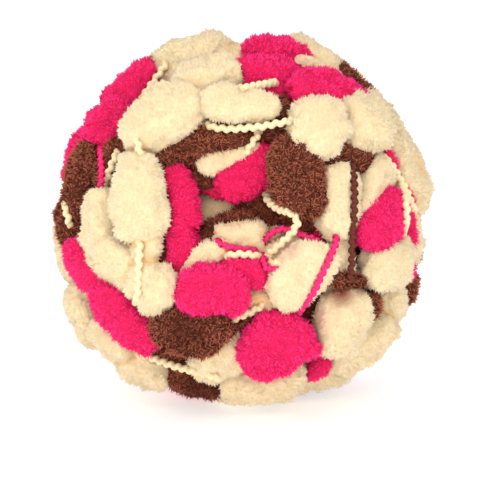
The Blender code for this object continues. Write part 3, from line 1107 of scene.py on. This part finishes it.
def hand_out(tree, shape, material, result):
    """Makes the copies real and smooth, with their material, and puts them out."""
    real = got(tree, "GeometryNodeRealizeInstances", {"Geometry": shape})
    smooth = got(tree, "GeometryNodeSetShadeSmooth", {"Geometry": real})
    dressed = got(tree, "GeometryNodeSetMaterial", {"Geometry": smooth, "Material": material})
    tree.links.new(dressed, result)


def new_tree(name, kind, inputs, outputs):
    """A node tree with these sockets, named by kind, and its group input and output."""
    tree = bpy.data.node_groups.new(name, kind)
    for way, sockets in (("INPUT", inputs), ("OUTPUT", outputs)):
        for socket, labels in sockets.items():
            for label in labels:
                tree.interface.new_socket(name=label, in_out=way, socket_type="NodeSocket" + socket)
    return tree, tree.nodes.new("NodeGroupInput").outputs, tree.nodes.new("NodeGroupOutput").inputs


TUFT_SIDES = 3
SMALLEST_TUFT = (0.8, 0.8, 0.7)      # a tuft's sizes are these shares of the usual ones
LARGEST_TUFT = (1.15, 1.15, 1.25)
SPIN_SEED, SIZE_SEED, TONE_SEED = 1, 2, 3
CLUMP_EDGE = 0.12            # how far in from its border a clump is low, as a share of its size
CLUMP_SHADE = 0.66            # how much of a tuft's tone its place in the clump sets, as painted shade darker towards its edge
LINK_SEGMENTS = 9
LINK_RINGS = 7


def tuft_shape(tree, given):
    """One tuft: an open cone with its root sunk, marked from root to tip."""
    cone = got(
        tree,
        "GeometryNodeMeshCone",
        {
            "Vertices": TUFT_SIDES,
            "Radius Top": 0.0,
            "Radius Bottom": maths(tree, "MULTIPLY", given["Tuft Width"], 0.5),
            "Depth": given["Tuft Length"],
        },
        fill_type="NONE",
    )
    place = got(tree, "GeometryNodeInputPosition")
    height = add(tree, "ShaderNodeSeparateXYZ", {0: place}).outputs["Z"]
    tipped = marked(tree, cone, "tip", maths(tree, "DIVIDE", height, given["Tuft Length"]))
    root = maths(tree, "MULTIPLY", given["Tuft Length"], given["Root Depth"])
    down = got(tree, "ShaderNodeCombineXYZ", {"Z": maths(tree, "MULTIPLY", root, -1.0)})
    return got(tree, "GeometryNodeSetPosition", {"Geometry": tipped, "Offset": down})


def tuft_way(tree, given):
    """The way that each tuft points, and how near it is to its clump's middle, from 0 to 1."""
    axes = {"Primary Axis": mark(tree, "along"), "Secondary Axis": mark(tree, "outward")}
    lain = got(tree, "FunctionNodeAxesToRotation", axes, primary_axis="X", secondary_axis="Z")
    stood = got(tree, "FunctionNodeInvertRotation", {"Rotation": lain})
    place = got(tree, "GeometryNodeInputPosition")
    own = got(tree, "FunctionNodeRotateVector", {"Vector": place, "Rotation": stood})
    narrow = got(tree, "ShaderNodeCombineXYZ", {"X": given["Clump Stretch"], "Y": 1.0, "Z": 1.0})
    spread = vectors(tree, "MULTIPLY", own, narrow)
    closeness = maths(tree, "DIVIDE", 1.0, given["Clump Size"])
    cell = {"Vector": spread, "Scale": closeness}
    middle = add(tree, "ShaderNodeTexVoronoi", cell, feature="F1").outputs["Position"]
    border = add(tree, "ShaderNodeTexVoronoi", cell, feature="DISTANCE_TO_EDGE").outputs["Distance"]
    inward = scaled(tree, vectors(tree, "SUBTRACT", middle, spread), closeness)
    share = got(tree, "FunctionNodeRotateVector", {"Vector": inward, "Rotation": lain})
    rise = vectors(tree, "PROJECT", share, mark(tree, "swell"))
    combed = scaled(tree, vectors(tree, "SUBTRACT", share, rise), given["Comb"])
    stray = chance_vector(tree, (-1, -1, -1), (1, 1, 1), given["Seed"])
    laid = vectors(tree, "ADD", mark(tree, "lay"), combed)
    way = vectors(tree, "ADD", laid, scaled(tree, stray, given["Splay"]))
    return way, soft_step(tree, border, 0.0, CLUMP_EDGE)


def pile_tree():
    """Geometry Nodes that set tufts all over bodies, as thick as their cover says."""
    sizes = (
        "Density", "Tuft Length", "Tuft Width", "Splay", "Root Depth",
        "Clump Size", "Clump Stretch", "Clump Depth", "Comb",
    )
    inputs = {"Geometry": ("Bodies",), "Float": sizes, "Int": ("Seed",), "Material": ("Material",)}
    tree, given, result = new_tree("Pile", "GeometryNodeTree", inputs, {"Geometry": ("Pompoms",)})
    density = maths(tree, "MULTIPLY", mark(tree, "cover", "FLOAT"), given["Density"])
    points = got(
        tree,
        "GeometryNodeDistributePointsOnFaces",
        {"Mesh": given["Bodies"], "Density": density, "Seed": given["Seed"]},
        distribute_method="RANDOM",
    )

    way, clump = tuft_way(tree, given)
    spin = chance_vector(tree, (0, 0, 0), (0, 0, math.tau), SPIN_SEED)
    spun = got(tree, "FunctionNodeEulerToRotation", {0: spin})
    turn = got(tree, "FunctionNodeAlignRotationToVector", {"Rotation": spun, "Vector": way})
    cut = maths(tree, "MULTIPLY", maths(tree, "SUBTRACT", 1.0, clump), given["Clump Depth"])
    stand = {"X": 1.0, "Y": 1.0, "Z": maths(tree, "SUBTRACT", 1.0, cut)}
    odd = chance_vector(tree, SMALLEST_TUFT, LARGEST_TUFT, SIZE_SEED)
    size = vectors(tree, "MULTIPLY", got(tree, "ShaderNodeCombineXYZ", stand), odd)
    tufts = got(
        tree,
        "GeometryNodeInstanceOnPoints",
        {"Points": points, "Instance": tuft_shape(tree, given), "Rotation": turn, "Scale": size},
    )
    # each tuft's tone: random, and painted shade darker towards its clump's edge
    chance = add(tree, "FunctionNodeRandomValue", {"Seed": TONE_SEED}, data_type="FLOAT").outputs[1]
    tone = got(tree, "ShaderNodeMix", {0: CLUMP_SHADE, 2: chance, 3: clump}, data_type="FLOAT")
    shaded = marked(tree, tufts, "shade", tone, domain="INSTANCE")

    joined = add(tree, "GeometryNodeJoinGeometry")
    tree.links.new(shaded, joined.inputs[0])
    tree.links.new(given["Bodies"], joined.inputs[0])
    hand_out(tree, joined.outputs[0], given["Material"], result["Pompoms"])
    return tree


def link_shape(tree, given):
    """One link of the chain: a ball, marked from its middle to its two ends."""
    sizes = {"Segments": LINK_SEGMENTS, "Rings": LINK_RINGS, "Radius": given["Link Radius"]}
    ball = got(tree, "GeometryNodeMeshUVSphere", sizes)
    place = got(tree, "GeometryNodeInputPosition")
    along = add(tree, "ShaderNodeSeparateXYZ", {0: place}).outputs["X"]
    off = maths(tree, "ABSOLUTE", along)
    return marked(tree, ball, "seam", maths(tree, "DIVIDE", off, given["Link Radius"]))


def cord_tree():
    """Geometry Nodes that set round links along each path, to its left and right by turns."""
    sizes = ("Link Radius", "Link Length", "Link Turn", "Swing", "Pitch")
    inputs = {"Geometry": ("Paths",), "Float": sizes, "Material": ("Material",)}
    tree, given, result = new_tree("Chained Cord", "GeometryNodeTree", inputs, {"Geometry": ("Cords",)})
    curve = got(tree, "GeometryNodeMeshToCurve", {"Mesh": given["Paths"]})
    step = {"Curve": curve, "Length": maths(tree, "MULTIPLY", given["Pitch"], 0.5)}
    points = add(tree, "GeometryNodeCurveToPoints", step, mode="LENGTH").outputs
    kept = marked(tree, points["Points"], "way", points["Tangent"], "FLOAT_VECTOR")

    number = got(tree, "GeometryNodeInputIndex")
    side = maths(tree, "MULTIPLY_ADD", maths(tree, "MODULO", number, 2.0), 2.0, -1.0)
    way = mark(tree, "way")
    level = vectors(tree, "NORMALIZE", vectors(tree, "CROSS_PRODUCT", way, mark(tree, "facing")))
    swing = scaled(tree, level, maths(tree, "MULTIPLY", side, given["Swing"]))
    swung = got(tree, "GeometryNodeSetPosition", {"Geometry": kept, "Offset": swing})
    axes = {"Primary Axis": way, "Secondary Axis": level}
    lain = got(tree, "FunctionNodeAxesToRotation", axes, primary_axis="X", secondary_axis="Y")
    spin = {"Z": maths(tree, "MULTIPLY", side, given["Link Turn"])}
    spun = got(tree, "FunctionNodeEulerToRotation", {0: got(tree, "ShaderNodeCombineXYZ", spin)})
    both = {"Rotation": lain, "Rotate By": spun}
    turned = got(tree, "FunctionNodeRotateRotation", both, rotation_space="LOCAL")
    size = got(tree, "ShaderNodeCombineXYZ", {"X": given["Link Length"], "Y": 1.0, "Z": 1.0})
    links = got(
        tree,
        "GeometryNodeInstanceOnPoints",
        {"Points": swung, "Instance": link_shape(tree, given), "Rotation": turned, "Scale": size},
    )
    hand_out(tree, links, given["Material"], result["Cords"])
    return tree


def plain_mesh(piece, tree, values):
    """Runs the tree on the piece, keeps its result as a plain mesh and drops the modifier."""
    modifier = piece.modifiers.new("Make", "NODES")
    modifier.node_group = tree
    for item in tree.interface.items_tree:
        if item.item_type == "SOCKET" and item.in_out == "INPUT" and item.name in values:
            modifier[item.identifier] = values[item.name]
    evaluated = piece.evaluated_get(bpy.context.evaluated_depsgraph_get())
    mesh = bpy.data.meshes.new_from_object(evaluated)
    mesh.name = piece.name
    if not mesh.polygons:
        raise RuntimeError(piece.name + " came out empty")
    piece.modifiers.remove(modifier)
    piece.data = mesh
    return mesh


def new_object(name, data):
    """A new object of this scene."""
    made = bpy.data.objects.new(name, data)
    bpy.context.scene.collection.objects.link(made)
    return made


def hand_over(piece):
    """Sets the piece on what it rides on and hides the solid."""
    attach(piece, BODY)
    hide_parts(SOLID)


SQUARE_CORNERS = np.array(((0, 0), (1, 0), (0.5, 1)))


def lay_bake_map(mesh, body_faces):
    """A map for baking: a square for each triangle of a body, and one for each tuft."""
    loops = len(mesh.loops)
    starts = np.zeros(len(mesh.polygons), np.int32)
    mesh.polygons.foreach_get("loop_start", starts)
    faces = np.arange(len(mesh.polygons))
    squares = np.where(faces < body_faces, faces, body_faces + (faces - body_faces) // TUFT_SIDES)
    across = math.ceil(math.sqrt(squares[-1] + 1))
    squares_at = np.column_stack((squares % across, squares // across))
    corners = np.zeros((loops, 2), np.float32)
    for number, corner in enumerate(SQUARE_CORNERS):
        corners[starts + number] = (squares_at + corner) / across
    mesh.uv_layers.new(name="OFBake").uv.foreach_set("vector", corners.ravel())


ROOT_END = 0.15              # how far up a tuft its painted root shade is whole
PILE_PATCHES = (240.0, 3.0)  # how many patches of tone lie in a metre, and in how many finenesses
CORD_PATCHES = (700.0, 3.0)
FIBRES = (2600.0, 2.0)
FIBRE_HEIGHT = 0.12 * MM
FIBRE_STRENGTH = 0.6
SEAM_SHADE = (0.45, 0.85)          # where along a link the painted shade at its seam starts and is whole
CORD_TONES = 0.35            # how much patches of a cord differ in tone
PILE_ROUGHNESS = 0.95
CORD_ROUGHNESS = 0.85
GLOSS = 0.1
LIGHT_REACH = 3 * MM         # how far light spreads in the yarn
LIGHT_TINT = (1.0, 0.9, 0.7)  # and how much of that far for red, green and blue


def opaque(values):
    """A colour with its alpha, as a socket takes it."""
    return (*values, 1)


def mixed(tree, share, low, high):
    """The colour between two, by a share."""
    return add(tree, "ShaderNodeMix", {0: share, 6: low, 7: high}, data_type="RGBA").outputs[2]


def attribute(tree, name):
    """What a value kept on the mesh's points puts out."""
    return add(tree, "ShaderNodeAttribute", attribute_name=name).outputs


def patches(tree, noise_size):
    """Soft random patches over a piece, by how many lie in a metre and how fine they go."""
    scale, detail = noise_size
    place = add(tree, "ShaderNodeTexCoord").outputs["Object"]
    values = {"Vector": place, "Scale": scale, "Detail": detail}
    return add(tree, "ShaderNodeTexNoise", values).outputs["Fac"]


def toned(tree, base, tones):
    """A colour made lighter and darker by values about a middle tone, each with its amount."""
    light = 1.0
    for value, amount in tones:
        light = maths(tree, "MULTIPLY_ADD", maths(tree, "SUBTRACT", value, MIDDLE_TONE), amount, light)
    return scaled(tree, base, light)


def pile_group():
    """The pile's colour from its painted root shade to its tip, with its tufts' own tones, stains, painted
    shade and reflected colour, and a softened normal.
    """
    sizes = ("Shadow Height", "Tuft Variation", "Tone Variation", "Softness")
    inputs = {"Color": ("Tip", "Root"), "Float": sizes}
    outputs = {"Color": ("Color",), "Vector": ("Normal",)}
    tree, given, result = new_tree("Pile Finish", "ShaderNodeTree", inputs, outputs)
    # painted shade: the root's darker colour fades up each tuft to its tip
    rise = soft_step(tree, attribute(tree, "tip")["Fac"], ROOT_END, given["Shadow Height"])
    # stains, painted shade and painted reflected colour, over the pile
    stain = attribute(tree, "stain")
    clean = mixed(tree, rise, given["Root"], given["Tip"])
    base = mixed(tree, stain["Alpha"], clean, stain["Color"])

    # each tuft's tone, random and with painted shade at its clump's edge
    own = attribute(tree, "shade")["Fac"]
    tones = ((own, given["Tuft Variation"]), (patches(tree, PILE_PATCHES), given["Tone Variation"]))
    tree.links.new(toned(tree, base, tones), result["Color"])

    bare = add(tree, "ShaderNodeNewGeometry").outputs["Normal"]
    ways = {0: given["Softness"], 4: bare, 5: attribute(tree, "swell")["Vector"]}
    soft = add(tree, "ShaderNodeMix", ways, data_type="VECTOR").outputs[1]
    tree.links.new(vectors(tree, "NORMALIZE", soft), result["Normal"])
    return tree


def cord_group():
    """A cord's colour, with painted shade between its links, and the fibres on it."""
    inputs = {"Color": ("Dye", "Seam"), "Float": ("Tone Variation", "Fibre Height")}
    outputs = {"Color": ("Color",), "Vector": ("Normal",)}
    tree, given, result = new_tree("Cord Finish", "ShaderNodeTree", inputs, outputs)
    # painted shade where one link meets the next
    deep = soft_step(tree, attribute(tree, "seam")["Fac"], *SEAM_SHADE)
    base = mixed(tree, deep, given["Dye"], given["Seam"])
    tones = ((patches(tree, CORD_PATCHES), given["Tone Variation"]),)
    tree.links.new(toned(tree, base, tones), result["Color"])
    fibres = {
        "Height": patches(tree, FIBRES),
        "Strength": FIBRE_STRENGTH,
        "Distance": given["Fibre Height"],
    }
    tree.links.new(got(tree, "ShaderNodeBump", fibres), result["Normal"])
    return tree


def dress(name, group, values, roughness, through):
    """A matt yarn material whose colour and normal come from a shared group."""
    material = bpy.data.materials.new(name)
    material.use_nodes = True
    tree = material.node_tree
    surface = tree.nodes["Principled BSDF"]
    surface.subsurface_method = "BURLEY"
    finish = {
        "Roughness": roughness,
        "Specular IOR Level": GLOSS,
        "Subsurface Weight": through,
        "Subsurface Radius": LIGHT_TINT,
        "Subsurface Scale": LIGHT_REACH,
    }
    set_inputs(surface, finish)
    placed = add(tree, "ShaderNodeGroup", values, node_tree=group)
    tree.links.new(placed.outputs["Color"], surface.inputs["Base Color"])
    tree.links.new(placed.outputs["Normal"], surface.inputs["Normal"])
    return material


def set_inputs(node, values):
    """Sets a node's inputs by name."""
    for name, value in values.items():
        node.inputs[name].default_value = value


def shared_tree(name, make):
    """The node tree of this name, built the first time that it is wanted."""
    return bpy.data.node_groups.get(name) or make()


def pile_material(dye, look):
    """The soft pile of one dye."""
    values = {
        "Tip": opaque(look.tip),
        "Root": opaque(look.root),
        "Shadow Height": look.shadow,
        "Tuft Variation": look.tuft_tones,
        "Tone Variation": look.patch_tones,
        "Softness": settings().pile.softness,
    }
    group = shared_tree("Pile Finish", pile_group)
    return dress(dye.slot.replace("yarn", "pile"), group, values, PILE_ROUGHNESS, look.through)


def cord_material(dye, look):
    """The chained cord of one dye."""
    values = {
        "Dye": opaque(look.cord),
        # the root's painted shade colour paints the seams between links
        "Seam": opaque(look.root),
        "Tone Variation": CORD_TONES,
        "Fibre Height": FIBRE_HEIGHT,
    }
    group = shared_tree("Cord Finish", cord_group)
    return dress(dye.slot.replace("yarn", "cord"), group, values, CORD_ROUGHNESS, 0)


def make_pompoms(dye):
    """Every piece of pompoms of one dye."""
    pile = settings().pile
    look = look_of(dye)
    pompoms = wound_pompoms()
    cords = CordTree(all_cords(pompoms))
    tree = shared_tree("Pile", pile_tree)
    values = {
        "Density": look.density / MM**2,
        "Tuft Length": look.length,
        "Tuft Width": look.width,
        "Splay": look.splay,
        "Root Depth": pile.root_share,
        "Clump Size": look.clump_size,
        "Clump Stretch": pile.clump_stretch,
        "Clump Depth": look.clump,
        "Comb": pile.comb,
        "Material": pile_material(dye, look),
    }
    for number, row in enumerate(PIECES):
        if row.dye != dye.slot:
            continue
        bodies = bodies_mesh(row, pompoms, cords)
        body_faces = len(bodies.polygons)
        piece = finished(bodies, tree, {**values, "Seed": number}, ("cover", "lay", "along", "outward"))
        lay_bake_map(piece.data, body_faces)
        hand_over(piece)


def finished(start, tree, values, passing):
    """The piece that the tree makes of a mesh, kept off the table and cleared of passing marks."""
    piece = new_object(start.name, start)
    mesh = plain_mesh(piece, tree, values)
    keep_off_floor(mesh)
    for name in passing:
        mesh.attributes.remove(mesh.attributes[name])
    return piece


def keep_off_floor(mesh):
    """Lifts the tips that would go through the table."""
    places = np.zeros(len(mesh.vertices) * 3, np.float32)
    mesh.vertices.foreach_get("co", places)
    places[2::3] = np.maximum(places[2::3], LOWEST_TUFT)
    mesh.vertices.foreach_set("co", places)
    mesh.update()


def paths_mesh(name, slot, cords):
    """The paths of one dye's cords, set above the table, with the ways that they face."""
    up = np.array((0, 0, settings().ball.centre_height))
    points = []
    edges = []
    ways = []
    for dye, path, facing in cords:
        if dye != slot:
            continue
        first = len(points)
        points.extend(warped(path) + up)
        ways.extend(facing)
        edges.extend((number, number + 1) for number in range(first, len(points) - 1))
    mesh = bpy.data.meshes.new(name)
    mesh.from_pydata(points, edges, [])
    store(mesh, "facing", "FLOAT_VECTOR", ways)
    return mesh


def make_cords():
    """A piece for the stretches of cord of each dye."""
    sizes = settings().cord
    tree = shared_tree("Chained Cord", cord_tree)
    cords = all_cords(wound_pompoms())
    for dye in DYES:
        look = look_of(dye)
        values = {
            "Link Radius": look.thick * sizes.link_share,
            "Link Length": sizes.link_length,
            "Link Turn": sizes.link_turn,
            "Swing": look.thick * (0.5 - sizes.link_share),
            "Pitch": look.pitch,
            "Material": cord_material(dye, look),
        }
        paths = paths_mesh(dye.slot.replace("yarn", "cords"), dye.slot, cords)
        piece = finished(paths, tree, values, ("way", "facing"))
        hand_over(piece)


class YARN_OT_cream_pompoms(bpy.types.Operator):
    """Makes the cream pompoms"""

    bl_idname = "yarn.cream_pompoms"
    bl_label = "Cream Pompoms"
    bl_options = {"REGISTER", "UNDO"}

    def execute(self, context):
        make_pompoms(DYES[0])
        return {"FINISHED"}


class YARN_OT_pink_pompoms(bpy.types.Operator):
    """Makes the pink pompoms"""

    bl_idname = "yarn.pink_pompoms"
    bl_label = "Pink Pompoms"
    bl_options = {"REGISTER", "UNDO"}

    def execute(self, context):
        make_pompoms(DYES[1])
        return {"FINISHED"}


class YARN_OT_brown_pompoms(bpy.types.Operator):
    """Makes the brown pompoms"""

    bl_idname = "yarn.brown_pompoms"
    bl_label = "Brown Pompoms"
    bl_options = {"REGISTER", "UNDO"}

    def execute(self, context):
        make_pompoms(DYES[2])
        return {"FINISHED"}


class YARN_OT_cords(bpy.types.Operator):
    """Lays the stretches of chained cord over the pompoms"""

    bl_idname = "yarn.cords"
    bl_label = "Cords"
    bl_options = {"REGISTER", "UNDO"}

    def execute(self, context):
        make_cords()
        return {"FINISHED"}


KEY_PLACE = Vector((-0.55, -1.2, 0.85))
FILL_PLACE = Vector((0.0, -1.3, 0.26))
SKY_COLOUR = (1.0, 0.975, 0.955)
FLOOR_LIGHT = (1.0, 0.99, 0.98)
FLOOR_ROUGHNESS = 0.9
FLOOR_GLOSS = 0.2
SENSOR = 36                  # the camera's sensor, in millimetres
NEAREST_SEEN = 0.01


def make_floor(look):
    """A plain pale floor."""
    half = look.floor_size / 2
    corners = [(-half, -half, 0), (half, -half, 0), (half, half, 0), (-half, half, 0)]
    mesh = bpy.data.meshes.new("floor")
    mesh.from_pydata(corners, [], [(0, 1, 2, 3)])
    material = bpy.data.materials.new("floor")
    material.use_nodes = True
    finish = {
        "Base Color": opaque((look.floor_tone,) * 3),
        "Roughness": FLOOR_ROUGHNESS,
        "Specular IOR Level": FLOOR_GLOSS,
        "Emission Color": opaque(FLOOR_LIGHT),
        "Emission Strength": look.floor_glow,
    }
    set_inputs(material.node_tree.nodes["Principled BSDF"], finish)
    mesh.materials.append(material)
    floor = new_object("floor", mesh)


def make_light(look):
    """Even light all round, a soft main light from the upper left and a low one, both in front."""
    world = bpy.data.worlds.new("studio")
    world.use_nodes = True
    sky = {"Color": opaque(SKY_COLOUR), "Strength": look.sky}
    set_inputs(world.node_tree.nodes["Background"], sky)
    bpy.context.scene.world = world
    middle = Vector((0, 0, settings().ball.centre_height))
    lights = {
        "main_light": (look.key_power, KEY_PLACE),
        "fill_light": (look.fill_power, FILL_PLACE),
    }
    for name, (power, place) in lights.items():
        lamp = bpy.data.lights.new(name, "AREA")
        lamp.shape = "SQUARE"
        lamp.size = look.key_size
        lamp.energy = power
        light = new_object(name, lamp)
        light.location = place
        light.rotation_euler = (middle - place).to_track_quat("-Z", "Y").to_euler()


def make_camera(look):
    """The camera at the photograph's angle, square on to the face."""
    across, up, into = face_axes()
    middle = np.array((0, 0, settings().ball.centre_height))
    eye = middle - into * settings().ball.eye_distance
    aim = middle + across * look.aim_across + up * look.aim_up
    lens = bpy.data.cameras.new("camera")
    lens.sensor_width = SENSOR
    lens.lens = SENSOR * settings().ball.eye_distance / look.view_width
    lens.clip_start = NEAREST_SEEN
    camera = new_object("camera", lens)
    camera.location = eye
    camera.rotation_euler = Vector(aim - eye).to_track_quat("-Z", "Y").to_euler()
    bpy.context.scene.camera = camera


class YARN_OT_stage(bpy.types.Operator):
    """Sets the floor, the light and the camera"""

    bl_idname = "yarn.stage"
    bl_label = "Stage"
    bl_options = {"REGISTER", "UNDO"}

    def execute(self, context):
        look = settings().stage
        make_floor(look)
        make_light(look)
        make_camera(look)
        context.scene.view_settings.view_transform = "Standard"
        return {"FINISHED"}


MAKERS = (
    YARN_OT_stage,
    YARN_OT_cords,
    YARN_OT_cream_pompoms,
    YARN_OT_pink_pompoms,
    YARN_OT_brown_pompoms,
)
SETTING_GROUPS = (BallSizes, PileSizes, CordSizes, CreamLook, PinkLook, BrownLook, StageLook)


class YARN_PT_ball(bpy.types.Panel):
    """Lists the makers and what they go by"""

    bl_idname = "YARN_PT_ball"
    bl_label = "Pom Pom Yarn Ball"
    bl_space_type = "VIEW_3D"
    bl_region_type = "UI"
    bl_category = "Yarn"

    def draw(self, context):
        for maker in MAKERS:
            self.layout.operator(maker.bl_idname)
        for label in ("ball", "pile", "cord", "cream", "pink", "brown", "stage"):
            box = self.layout.box()
            box.label(text=label.title())
            group = getattr(context.scene.yarn_ball, label)
            for name in group.__annotations__:
                box.prop(group, name)


CLASSES = SETTING_GROUPS + (YarnBallSettings,) + MAKERS + (YARN_PT_ball,)


def register():
    """Adds the classes, and the settings to every scene."""
    for made in CLASSES:
        bpy.utils.register_class(made)
    bpy.types.Scene.yarn_ball = PointerProperty(type=YarnBallSettings)


def unregister():
    """Takes the settings and the classes away."""
    del bpy.types.Scene.yarn_ball
    for made in reversed(CLASSES):
        bpy.utils.unregister_class(made)


def main():
    """Makes the whole ball and its stage."""
    register()
    bpy.ops.yarn.stage()
    bpy.ops.yarn.cords()
    bpy.ops.yarn.cream_pompoms()
    bpy.ops.yarn.pink_pompoms()
    bpy.ops.yarn.brown_pompoms()


if __name__ == "__main__":
    main()
